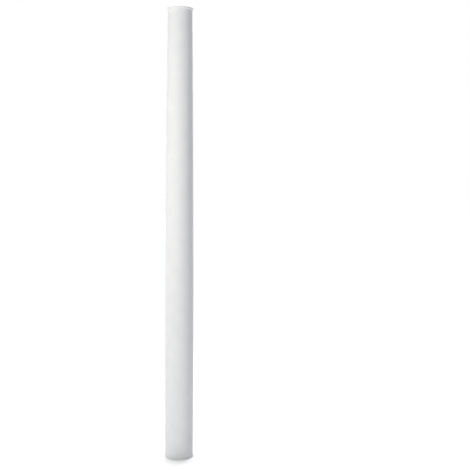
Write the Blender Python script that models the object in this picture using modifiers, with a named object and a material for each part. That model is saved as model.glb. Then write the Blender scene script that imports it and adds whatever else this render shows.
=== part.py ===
"""Smooth round column shaft, moulded in one piece from rigid polyurethane foam and primed white.

The shaft stands on its flat underside at the origin, with its axis along +Z. It is a single turned form:
a plain foot, a slight belly low down, a long curved taper to the neck, and at the top a small concave
flare under a thin round lip. A base goes under the foot and a capital sits on the flat top.

All sizes are in metres.
"""

import math

import bpy

# Heights
SHAFT_HEIGHT = 2.400  # underside to flat top
BELLY_HEIGHT = 0.600  # underside to the fullest section
LIP_HEIGHT = 0.007  # straight band round the top edge
FLARE_HEIGHT = 0.007  # from the neck up to the underside of the lip

# Diameters
FOOT_DIAMETER = 0.1525  # at the underside
BELLY_DIAMETER = 0.1535  # at the fullest section
NECK_DIAMETER = 0.1285  # just under the flare
LIP_DIAMETER = 0.140

# Rounded edges
LIP_ROUNDING = 0.001  # both edges of the lip
FOOT_ROUNDING = 0.001  # edge of the underside

# The curve of the taper: 1 is a straight cone and 2 a parabola
TAPER_POWER = 1.8

# Fineness of the faceted solid
SIDES = 72
SWELL_STATIONS = 3  # steps from belly to foot
TAPER_STATIONS = 12  # steps from neck to belly
FLARE_STATIONS = 4
ROUNDING_STATIONS = 2

SMOOTH_BELOW = math.radians(30)  # steeper breaks between facets are real edges
WELD_DISTANCE = 0.00001

PRIMER_COLOUR = (0.86, 0.86, 0.85, 1.0)
PRIMER_ROUGHNESS = 0.6

LIP_RADIUS = LIP_DIAMETER / 2
LIP_UNDERSIDE = SHAFT_HEIGHT - LIP_HEIGHT
NECK_TOP = LIP_UNDERSIDE - FLARE_HEIGHT  # where the taper ends and the flare begins


def clear_scene():
    for obj in list(bpy.data.objects):
        bpy.data.objects.remove(obj, do_unlink=True)


def new_collection(name):
    collection = bpy.data.collections.new(name)
    bpy.context.scene.collection.children.link(collection)
    return collection


def white_primer():
    """White primer on moulded foam: matt, not metallic."""
    material = bpy.data.materials.new("white_primer")
    material.use_nodes = True
    shader = material.node_tree.nodes["Principled BSDF"]
    shader.inputs["Base Color"].default_value = PRIMER_COLOUR
    shader.inputs["Roughness"].default_value = PRIMER_ROUGHNESS
    shader.inputs["Metallic"].default_value = 0.0
    return material


def arc(centre, reach, start_deg, end_deg, steps):
    """Points (r, z) of an arc, both ends included. Its centre and its reach are each given as (r, z)."""
    points = []
    for i in range(steps + 1):
        angle = math.radians(start_deg + (end_deg - start_deg) * i / steps)
        points.append((centre[0] + reach[0] * math.cos(angle), centre[1] + reach[1] * math.sin(angle)))
    return points


def lip_outline():
    """The lip from its rounded upper edge down its straight face to its rounded lower edge."""
    inset = LIP_RADIUS - LIP_ROUNDING
    reach = (LIP_ROUNDING, LIP_ROUNDING)
    upper = arc((inset, SHAFT_HEIGHT - LIP_ROUNDING), reach, 90, 0, ROUNDING_STATIONS)
    lower = arc((inset, LIP_UNDERSIDE + LIP_ROUNDING), reach, 0, -90, ROUNDING_STATIONS)
    return upper + lower


def flare_outline():
    """The concave flare from under the lip in to the neck.

    It would begin at the lip's lower corner, which the rounding has taken, so its first point is left out.
    """
    reach = (LIP_RADIUS - NECK_DIAMETER / 2, FLARE_HEIGHT)
    return arc((LIP_RADIUS, NECK_TOP), reach, 90, 180, FLARE_STATIONS)[1:]


def taper_outline():
    """The long side of the shaft, from just under the neck down to its fullest section."""
    points = []
    for i in range(1, TAPER_STATIONS + 1):
        share = 1 - i / TAPER_STATIONS
        radius = (BELLY_DIAMETER - (BELLY_DIAMETER - NECK_DIAMETER) * share**TAPER_POWER) / 2
        points.append((radius, BELLY_HEIGHT + (NECK_TOP - BELLY_HEIGHT) * share))
    return points


def swell_outline():
    """The side of the shaft from below its fullest section down to just above the foot."""
    points = []
    for i in range(1, SWELL_STATIONS):
        share = i / SWELL_STATIONS
        radius = (BELLY_DIAMETER - (BELLY_DIAMETER - FOOT_DIAMETER) * share**2) / 2
        points.append((radius, BELLY_HEIGHT * (1 - share)))
    return points


def foot_outline():
    """The rounded edge of the underside."""
    inset = FOOT_DIAMETER / 2 - FOOT_ROUNDING
    return arc((inset, FOOT_ROUNDING), (FOOT_ROUNDING, FOOT_ROUNDING), 0, -90, ROUNDING_STATIONS)


def shaft_outline():
    """Half section: from the middle of the top, down the outer side, to the middle of the underside."""
    outer = lip_outline() + flare_outline() + taper_outline() + swell_outline() + foot_outline()
    return [(0.0, SHAFT_HEIGHT)] + outer + [(0.0, 0.0)]


def turn(name, outline, material, collection):
    """A solid turned about Z from its half section, shaded smooth between its real edges."""
    mesh = bpy.data.meshes.new(name)
    edges = [(i, i + 1) for i in range(len(outline) - 1)]
    mesh.from_pydata([(r, 0.0, z) for r, z in outline], edges, [])
    mesh.materials.append(material)
    solid = bpy.data.objects.new(name, mesh)
    collection.objects.link(solid)

    screw = solid.modifiers.new("turn", "SCREW")
    screw.axis = "Z"
    screw.angle = 2 * math.pi
    screw.steps = SIDES
    screw.render_steps = SIDES
    screw.use_merge_vertices = True
    screw.merge_threshold = WELD_DISTANCE

    bpy.context.view_layer.objects.active = solid
    bpy.ops.object.modifier_apply(modifier=screw.name)
    mesh.shade_smooth()
    mesh.set_sharp_from_angle(angle=SMOOTH_BELOW)


def main():
    clear_scene()
    collection = new_collection("Column shaft")
    turn("column_shaft", shaft_outline(), white_primer(), collection)


main()
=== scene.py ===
import math

import bpy
from mathutils import Matrix, Vector


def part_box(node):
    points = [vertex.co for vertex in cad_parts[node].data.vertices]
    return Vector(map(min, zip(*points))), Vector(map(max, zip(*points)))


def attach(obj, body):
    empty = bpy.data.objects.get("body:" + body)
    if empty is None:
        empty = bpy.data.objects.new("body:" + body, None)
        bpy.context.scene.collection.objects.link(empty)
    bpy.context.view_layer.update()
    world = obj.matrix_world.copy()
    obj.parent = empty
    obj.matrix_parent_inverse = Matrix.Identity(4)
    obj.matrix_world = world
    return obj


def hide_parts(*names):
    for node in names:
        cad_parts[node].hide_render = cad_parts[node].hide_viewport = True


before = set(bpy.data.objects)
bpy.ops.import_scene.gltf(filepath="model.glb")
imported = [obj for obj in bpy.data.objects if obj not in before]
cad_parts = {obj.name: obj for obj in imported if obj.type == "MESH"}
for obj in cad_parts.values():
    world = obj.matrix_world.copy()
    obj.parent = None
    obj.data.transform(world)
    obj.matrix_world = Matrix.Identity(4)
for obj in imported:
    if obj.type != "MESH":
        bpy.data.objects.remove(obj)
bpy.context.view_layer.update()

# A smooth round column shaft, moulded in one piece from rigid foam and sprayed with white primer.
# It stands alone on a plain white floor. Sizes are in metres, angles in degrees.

# Heights of the shaft, from the floor up
SHAFT_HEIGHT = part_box("column_shaft")[1].z
BELLY_HEIGHT = 0.600
LIP_HEIGHT = 0.007
FLARE_HEIGHT = 0.007
LIP_UNDERSIDE = SHAFT_HEIGHT - LIP_HEIGHT
NECK_TOP = LIP_UNDERSIDE - FLARE_HEIGHT

EDGE_ROUNDING = 0.001
TAPER_POWER = 1.8  # 1 is a straight cone and 2 a parabola
RING_TOLERANCE = 0.0001  # corners of the frame's shaft this level with each other are one ring


def frame_radius(height):
    """Radius of the frame's shaft, read from its ring of corners nearest to a height."""
    corners = [corner.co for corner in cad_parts["column_shaft"].data.vertices]
    nearest = min(abs(corner.z - height) for corner in corners)
    ring = [corner for corner in corners if abs(abs(corner.z - height) - nearest) < RING_TOLERANCE]
    return max(math.hypot(corner.x, corner.y) for corner in ring)


FOOT_RADIUS = frame_radius(EDGE_ROUNDING)
BELLY_RADIUS = frame_radius(BELLY_HEIGHT)
NECK_RADIUS = frame_radius(NECK_TOP)
LIP_RADIUS = frame_radius(SHAFT_HEIGHT - EDGE_ROUNDING)

# Fineness of the shaft's mesh
SIDES = 256
ROW_HEIGHT = 0.012
FLARE_ROWS = 8
ROUNDING_ROWS = 4
DISC_ROWS = 8
REAL_EDGE = 35  # a steeper break between two faces stays sharp
UPRIGHT = 0.99  # the normal of a flat end points at least this much up or down

# The moulding's slight unevenness: never proud of the true surface
UNEVEN_WIDTH = 0.090
UNEVEN_DEPTH = 0.0003

# The sprayed primer and its patterns. A width that is multiplied is the real one, drawn coarser to show
FULL_FILM = "DFE0E0"
THIN_FILM = "DCDDDE"
FILM_WIDTH = 0.060
MATT = 0.58
DEAD_MATT = 0.70
SANDING_WIDTH = 0.018
PEEL_WIDTH = 0.002 * 4
PEEL_DEPTH = 0.00004
PINHOLE_SPACING = 0.030
PINHOLE_RADIUS = 0.00045 * 2
PINHOLE_DEPTH = 0.0003

# Painted shade: the hollow under the lip is painted greyer than the rest of the film
UNDER_LIP_PAINTED_SHADE = "CFD0D0"
HOLLOW_MIDDLE = NECK_TOP + FLARE_HEIGHT / 2
HOLLOW_CORE = 0.0025  # greyest up to this far from the middle
HOLLOW_REACH = 0.0050  # no greyer than the rest from this far on

# The sawn ends, with their widths written in the same way
SAWN_PALE = "DEDDD9"
SAWN_DRY = "D1D0CA"
SAWN_MATT = 0.9
SAWN_PATCH_WIDTH = 0.016
SAW_MARK_WIDTH = 0.003 * 4
SAW_MARK_LENGTH = 0.120
SAW_MARK_DEPTH = 0.00025
CELL_WIDTH = 0.0005 * 8
CELL_DEPTH = 0.0003

# The values of a noise pattern between which one tone, or one dullness, turns into the other
TONE_FROM = 0.35
TONE_TO = 0.65
DULLNESS_FROM = 0.3
DULLNESS_TO = 0.7

PRIMER_IOR = 1.48  # that of acrylic paint
PRIMER_SCATTER = 0.25  # its diffuse roughness, from 0 to 1

# The studio
FLOOR_SIZE = 80.0
FLOOR_DROP = 0.0004
FLOOR_WHITE = "F6F6F6"
FLOOR_MATT = 0.95
FLOOR_GLOSS = 0.1
DAYLIGHT = (0.98, 1.0, 1.05)  # a slightly cool white
FILL_STRENGTH = 0.16
OVERHEAD_STRENGTH = 3.3
OVERHEAD_SPREAD = 15
OVERHEAD_TILT = 6  # back from upright, so that its shadow falls forward

# The camera, as the photograph's perspective gives it
PICTURE_PIXELS = 470
FOCAL_PIXELS = 825.2
CAMERA_DISTANCE = 4.429
CAMERA_HEIGHT = 1.471
CAMERA_DOWN = 3.435
CAMERA_RIGHT = 3.851
CAMERA_ROLL = 0.392
SENSOR_WIDTH = 36.0  # in millimetres, as a camera states it


def linear(hex_colour):
    """Linear colour of an sRGB hex value, fully opaque."""
    colour = []
    for i in (0, 2, 4):
        value = int(hex_colour[i:i + 2], 16) / 255
        colour.append(value / 12.92 if value <= 0.04045 else ((value + 0.055) / 1.055) ** 2.4)
    return (*colour, 1.0)


def add_node(tree, kind, inputs=None, **settings):
    """Adds a node with its settings. An input is a plain value, or the output of another node."""
    node = tree.nodes.new(kind)
    for name, value in settings.items():
        setattr(node, name, value)
    for name, value in (inputs or {}).items():
        if isinstance(value, bpy.types.NodeSocket):
            tree.links.new(value, node.inputs[name])
        else:
            node.inputs[name].default_value = value
    return node


# Outline of the shaft, as points (r, z): the distance from its axis and the height

def arc(centre, reach, start_deg, end_deg, rows):
    """Points of an arc, both ends included. Its centre and its reach are each given as (r, z)."""
    points = []
    for i in range(rows + 1):
        angle = math.radians(start_deg + (end_deg - start_deg) * i / rows)
        points.append((centre[0] + reach[0] * math.cos(angle), centre[1] + reach[1] * math.sin(angle)))
    return points


def swell(rows):
    """The side from just above the foot's rounding up to the belly."""
    points = []
    for i in range(1, rows + 1):
        z = EDGE_ROUNDING + (BELLY_HEIGHT - EDGE_ROUNDING) * i / rows
        radius = BELLY_RADIUS - (BELLY_RADIUS - FOOT_RADIUS) * (1 - z / BELLY_HEIGHT) ** 2
        points.append((radius, z))
    return points


def taper(rows):
    """The side from the belly up to just below the neck's top."""
    points = []
    for i in range(1, rows):
        share = i / rows
        radius = BELLY_RADIUS - (BELLY_RADIUS - NECK_RADIUS) * share**TAPER_POWER
        points.append((radius, BELLY_HEIGHT + (NECK_TOP - BELLY_HEIGHT) * share))
    return points


def outline():
    """The shaft's outer side, from the flat of its foot up to the flat of its top."""
    rounding = (EDGE_ROUNDING, EDGE_ROUNDING)
    foot = arc((FOOT_RADIUS - EDGE_ROUNDING, EDGE_ROUNDING), rounding, -90, 0, ROUNDING_ROWS)
    flare = arc((LIP_RADIUS, NECK_TOP), (LIP_RADIUS - NECK_RADIUS, FLARE_HEIGHT), 180, 90, FLARE_ROWS)[:-1]
    inset = LIP_RADIUS - EDGE_ROUNDING
    lip_lower = arc((inset, LIP_UNDERSIDE + EDGE_ROUNDING), rounding, -90, 0, ROUNDING_ROWS)
    lip_upper = arc((inset, SHAFT_HEIGHT - EDGE_ROUNDING), rounding, 0, 90, ROUNDING_ROWS)
    swell_rows = round(BELLY_HEIGHT / ROW_HEIGHT)
    taper_rows = round((NECK_TOP - BELLY_HEIGHT) / ROW_HEIGHT)
    return foot + swell(swell_rows) + taper(taper_rows) + flare + lip_lower + lip_upper


# Modelling

def draw_ring(start, end):
    """Extrudes the selected ring of edges from one (r, z) to the next."""
    bpy.ops.mesh.extrude_region_move(TRANSFORM_OT_translate={"value": (0, 0, end[1] - start[1])})
    spread = end[0] / start[0]
    bpy.ops.transform.resize(value=(spread, spread, 1), center_override=(0, 0, end[1]))


def close_disc(rim):
    """Closes the selected ring with a flat disc, ring by ring to its middle."""
    radius, z = rim
    for i in range(DISC_ROWS - 1):
        start = radius * (1 - i / DISC_ROWS)
        end = radius * (1 - (i + 1) / DISC_ROWS)
        draw_ring((start, z), (end, z))
    bpy.ops.mesh.extrude_region_move(TRANSFORM_OT_translate={"value": (0, 0, 0)})
    bpy.ops.mesh.merge(type="CENTER")


def select_where(piece, test):
    """Selects the faces of a piece in edit mode whose middle and normal pass a test."""
    bpy.ops.mesh.select_mode(type="FACE")
    bpy.ops.mesh.select_all(action="DESELECT")
    bpy.ops.object.mode_set(mode="OBJECT")
    for face in piece.data.polygons:
        face.select = test(face.center, face.normal)
    bpy.ops.object.mode_set(mode="EDIT")


def draw_shaft():
    """The whole shaft with both its flat ends, drawn up from the ring at its foot."""
    side = outline()
    bpy.ops.object.select_all(action="DESELECT")
    bpy.ops.mesh.primitive_circle_add(vertices=SIDES, radius=side[0][0], location=(0, 0, side[0][1]))
    shaft = bpy.context.active_object
    shaft.name = "primed_shaft"
    bpy.ops.object.mode_set(mode="EDIT")
    bpy.ops.mesh.select_all(action="SELECT")
    for start, end in zip(side, side[1:]):
        draw_ring(start, end)
    close_disc(side[-1])
    bpy.ops.mesh.select_all(action="SELECT")
    bpy.ops.mesh.region_to_loop()
    close_disc(side[0])
    bpy.ops.mesh.select_all(action="SELECT")
    bpy.ops.mesh.normals_make_consistent(inside=False)
    bpy.ops.object.mode_set(mode="OBJECT")
    return shaft


def make_uneven(shaft):
    """Sinks the shaft's side a little here and there, between the foot's rounding and the flare."""
    bpy.ops.object.mode_set(mode="EDIT")
    select_where(shaft, lambda middle, normal: EDGE_ROUNDING < middle.z < NECK_TOP)
    group = shaft.vertex_groups.new(name="side")
    bpy.ops.object.vertex_group_assign()
    bpy.ops.object.mode_set(mode="OBJECT")

    clouds = bpy.data.textures.new("moulding_unevenness", "CLOUDS")
    clouds.noise_scale = UNEVEN_WIDTH
    uneven = shaft.modifiers.new("unevenness", "DISPLACE")
    uneven.texture = clouds
    uneven.texture_coords = "LOCAL"
    uneven.strength = UNEVEN_DEPTH
    uneven.mid_level = 1.0  # inwards only
    uneven.vertex_group = group.name
    bpy.ops.object.modifier_apply(modifier=uneven.name)


def model_shaft():
    """The finished mesh of the shaft, smooth between its real edges."""
    shaft = draw_shaft()
    make_uneven(shaft)
    bpy.ops.object.shade_smooth_by_angle(angle=math.radians(REAL_EDGE))
    return shaft


# Materials

def new_material(name):
    """A new material, its cleared node tree, and the place on the piece that its patterns follow."""
    material = bpy.data.materials.new(name)
    material.use_nodes = True
    tree = material.node_tree
    tree.nodes.clear()
    place = add_node(tree, "ShaderNodeTexCoord").outputs["Object"]
    return material, tree, place


def primer_material():
    """Acrylic primer, sprayed on moulded polyurethane foam.

    The eye sees an even, matt, slightly cool white with hardly any gloss. The spray lays a little more film
    here and less there. The hollow under the lip is painted greyer, as painted shade. Sanding leaves some
    patches duller. The spray's orange peel is really 2 mm wide, too fine to show, and is drawn four times as
    wide. The pinholes of the foam's skin are drawn twice as wide as they are, for the same reason.
    """
    material, tree, place = new_material("Sprayed acrylic primer on moulded foam")

    film = add_node(tree, "ShaderNodeTexNoise", {"Vector": place, "Scale": 1 / FILM_WIDTH, "Detail": 3.0})
    tone = add_node(tree, "ShaderNodeValToRGB", {"Fac": film.outputs["Fac"]})
    tone.color_ramp.elements[0].position = TONE_FROM
    tone.color_ramp.elements[0].color = linear(THIN_FILM)
    tone.color_ramp.elements[1].position = TONE_TO
    tone.color_ramp.elements[1].color = linear(FULL_FILM)

    # Painted shade: the hollow under the lip is painted greyer, greyest at its middle and fading out away
    # from it
    height = add_node(tree, "ShaderNodeSeparateXYZ", {"Vector": place}).outputs["Z"]
    above = add_node(tree, "ShaderNodeMath", {0: height, 1: HOLLOW_MIDDLE}, operation="SUBTRACT")
    away = add_node(tree, "ShaderNodeMath", {0: above.outputs["Value"]}, operation="ABSOLUTE")
    under_lip_shade = add_node(tree, "ShaderNodeMapRange", {
        "Value": away.outputs["Value"], "From Min": HOLLOW_CORE, "From Max": HOLLOW_REACH,
        "To Min": 1.0, "To Max": 0.0}, interpolation_type="SMOOTHSTEP")
    # A colour mix takes its two colours at inputs 6 and 7 and gives the mixed one at output 2
    colour = add_node(tree, "ShaderNodeMix", {
        "Factor": under_lip_shade.outputs["Result"], 6: tone.outputs["Color"], 7: linear(UNDER_LIP_PAINTED_SHADE)},
        data_type="RGBA")

    sanding = add_node(tree, "ShaderNodeTexNoise", {
        "Vector": place, "Scale": 1 / SANDING_WIDTH, "Detail": 2.0})
    dullness = add_node(tree, "ShaderNodeMapRange", {
        "Value": sanding.outputs["Fac"], "From Min": DULLNESS_FROM, "From Max": DULLNESS_TO,
        "To Min": MATT, "To Max": DEAD_MATT})

    peel = add_node(tree, "ShaderNodeTexNoise", {"Vector": place, "Scale": 1 / PEEL_WIDTH, "Detail": 1.0})
    peeled = add_node(tree, "ShaderNodeBump", {"Height": peel.outputs["Fac"], "Distance": PEEL_DEPTH})
    pinholes = add_node(tree, "ShaderNodeTexVoronoi", {"Vector": place, "Scale": 1 / PINHOLE_SPACING})
    rim = PINHOLE_RADIUS / PINHOLE_SPACING
    depth = add_node(tree, "ShaderNodeMapRange", {
        "Value": pinholes.outputs["Distance"], "From Min": 0.0, "From Max": rim,
        "To Min": 0.0, "To Max": 1.0})
    pricked = add_node(tree, "ShaderNodeBump", {
        "Height": depth.outputs["Result"], "Distance": PINHOLE_DEPTH, "Normal": peeled.outputs["Normal"]})

    shader = add_node(tree, "ShaderNodeBsdfPrincipled", {
        "Base Color": colour.outputs[2], "Roughness": dullness.outputs["Result"],
        "Normal": pricked.outputs["Normal"], "IOR": PRIMER_IOR, "Diffuse Roughness": PRIMER_SCATTER})
    add_node(tree, "ShaderNodeOutputMaterial", {"Surface": shader.outputs["BSDF"]})
    return material


def sawn_end_material():
    """The same primer on the ends, where the foam is sawn and drinks it.

    The eye sees a duller, slightly warmer and patchier white than on the side, with the saw's faint marks
    straight across and the foam's open cells as fine pits. Both are too fine to show: the marks are really
    3 mm wide and are drawn four times, and the cells are half a millimetre and are drawn eight times as wide.
    """
    material, tree, place = new_material("Sprayed acrylic primer on sawn foam")

    drink = add_node(tree, "ShaderNodeTexNoise", {
        "Vector": place, "Scale": 1 / SAWN_PATCH_WIDTH, "Detail": 3.0})
    tone = add_node(tree, "ShaderNodeValToRGB", {"Fac": drink.outputs["Fac"]})
    tone.color_ramp.elements[0].position = TONE_FROM
    tone.color_ramp.elements[0].color = linear(SAWN_DRY)
    tone.color_ramp.elements[1].position = TONE_TO
    tone.color_ramp.elements[1].color = linear(SAWN_PALE)

    along = add_node(tree, "ShaderNodeVectorMath", {
        0: place, 1: (1 / SAW_MARK_WIDTH, 1 / SAW_MARK_LENGTH, 0.0)}, operation="MULTIPLY")
    marks = add_node(tree, "ShaderNodeTexNoise", {
        "Vector": along.outputs["Vector"], "Scale": 1.0, "Detail": 2.0})
    scored = add_node(tree, "ShaderNodeBump", {"Height": marks.outputs["Fac"], "Distance": SAW_MARK_DEPTH})
    cells = add_node(tree, "ShaderNodeTexVoronoi", {"Vector": place, "Scale": 1 / CELL_WIDTH})
    pitted = add_node(tree, "ShaderNodeBump", {
        "Height": cells.outputs["Distance"], "Distance": CELL_DEPTH, "Normal": scored.outputs["Normal"]})

    shader = add_node(tree, "ShaderNodeBsdfPrincipled", {
        "Base Color": tone.outputs["Color"], "Roughness": SAWN_MATT, "Normal": pitted.outputs["Normal"],
        "IOR": PRIMER_IOR, "Diffuse Roughness": PRIMER_SCATTER})
    add_node(tree, "ShaderNodeOutputMaterial", {"Surface": shader.outputs["BSDF"]})
    return material


def prime(shaft):
    """Primer all over, the kind on sawn foam at both ends."""
    shaft.data.materials.append(primer_material())
    shaft.data.materials.append(sawn_end_material())
    bpy.ops.object.mode_set(mode="EDIT")
    select_where(shaft, lambda middle, normal: abs(normal.z) > UPRIGHT)
    shaft.active_material_index = 1  # the one on sawn foam
    bpy.ops.object.material_slot_assign()
    bpy.ops.object.mode_set(mode="OBJECT")


def floor_material():
    """Matt white studio paint."""
    material = bpy.data.materials.new("Matt white floor paint")
    material.use_nodes = True
    shader = material.node_tree.nodes["Principled BSDF"]
    shader.inputs["Base Color"].default_value = linear(FLOOR_WHITE)
    shader.inputs["Roughness"].default_value = FLOOR_MATT
    shader.inputs["Specular IOR Level"].default_value = FLOOR_GLOSS
    return material


# Studio

def floor():
    """A plain floor, so little below the underside that the shaft still looks as if it stands on it."""
    bpy.ops.object.select_all(action="DESELECT")
    bpy.ops.mesh.primitive_plane_add(size=FLOOR_SIZE, location=(0, 0, -FLOOR_DROP))
    ground = bpy.context.active_object
    ground.name = "studio_floor"
    ground.data.materials.append(floor_material())


def put_in_scene(name, data):
    """An object that puts a light or a camera in the scene."""
    placed = bpy.data.objects.new(name, data)
    bpy.context.scene.collection.objects.link(placed)
    return placed


def softbox(name, azimuth, distance, height, width, tall, watts, colour, aim_height):
    """A soft rectangular light. Azimuth 0 is the camera's side and positive is to the camera's right."""
    data = bpy.data.lights.new(name, "AREA")
    data.shape = "RECTANGLE"
    data.size = width
    data.size_y = tall
    data.energy = watts
    data.color = colour
    light = put_in_scene(name, data)
    angle = math.radians(azimuth)
    light.location = (distance * math.sin(angle), -distance * math.cos(angle), height)
    towards = Vector((0, 0, aim_height)) - light.location
    light.rotation_euler = towards.to_track_quat("-Z", "Y").to_euler()
    light.visible_camera = False


def overhead_light():
    """A broad soft light from overhead. It whitens the floor and leaves a soft shadow before the foot."""
    data = bpy.data.lights.new("overhead", "SUN")
    data.energy = OVERHEAD_STRENGTH
    data.angle = math.radians(OVERHEAD_SPREAD)
    data.color = DAYLIGHT
    light = put_in_scene("overhead", data)
    light.rotation_euler = (math.radians(-OVERHEAD_TILT), 0, 0)


def surroundings():
    """A weak cool fill from all round. The camera itself sees plain white beyond the floor."""
    world = bpy.data.worlds.new("studio")
    world.use_nodes = True
    tree = world.node_tree
    tree.nodes.clear()
    fill = add_node(tree, "ShaderNodeBackground", {"Color": (*DAYLIGHT, 1.0), "Strength": FILL_STRENGTH})
    white = add_node(tree, "ShaderNodeBackground", {"Color": (1.0, 1.0, 1.0, 1.0), "Strength": 1.0})
    seen = add_node(tree, "ShaderNodeLightPath")
    both = add_node(tree, "ShaderNodeMixShader", {
        "Fac": seen.outputs["Is Camera Ray"], 1: fill.outputs["Background"], 2: white.outputs["Background"]})
    add_node(tree, "ShaderNodeOutputWorld", {"Surface": both.outputs["Shader"]})
    bpy.context.scene.world = world


def camera():
    """The photograph's view: from eye height, a little down and to the right, and very slightly rolled."""
    data = bpy.data.cameras.new("camera")
    data.sensor_width = SENSOR_WIDTH
    data.lens = FOCAL_PIXELS / PICTURE_PIXELS * SENSOR_WIDTH
    viewer = put_in_scene("camera", data)
    right = Matrix.Rotation(math.radians(-CAMERA_RIGHT), 4, "Z")
    down = Matrix.Rotation(math.radians(90 - CAMERA_DOWN), 4, "X")
    roll = Matrix.Rotation(math.radians(CAMERA_ROLL), 4, "Z")
    viewer.matrix_world = Matrix.Translation((0, -CAMERA_DISTANCE, CAMERA_HEIGHT)) @ right @ down @ roll
    bpy.context.scene.camera = viewer


camera()
shaft = model_shaft()
prime(shaft)
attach(shaft, "root")
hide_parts("column_shaft")

floor()
softbox("key", azimuth=-40.5, distance=2.5, height=1.95, width=0.35, tall=0.9, watts=36.6,
        colour=(1.045, 1.0, 0.925), aim_height=1.4)
softbox("back", azimuth=154, distance=3.0, height=1.6, width=0.5, tall=1.6, watts=21,
        colour=(1.0, 1.0, 1.0), aim_height=1.2)
softbox("foot_card", azimuth=-15, distance=0.5, height=0.05, width=0.45, tall=0.06, watts=0.06,
        colour=(0.92, 1.0, 1.25), aim_height=0.05)
overhead_light()
surroundings()
bpy.context.scene.view_settings.view_transform = "Standard"
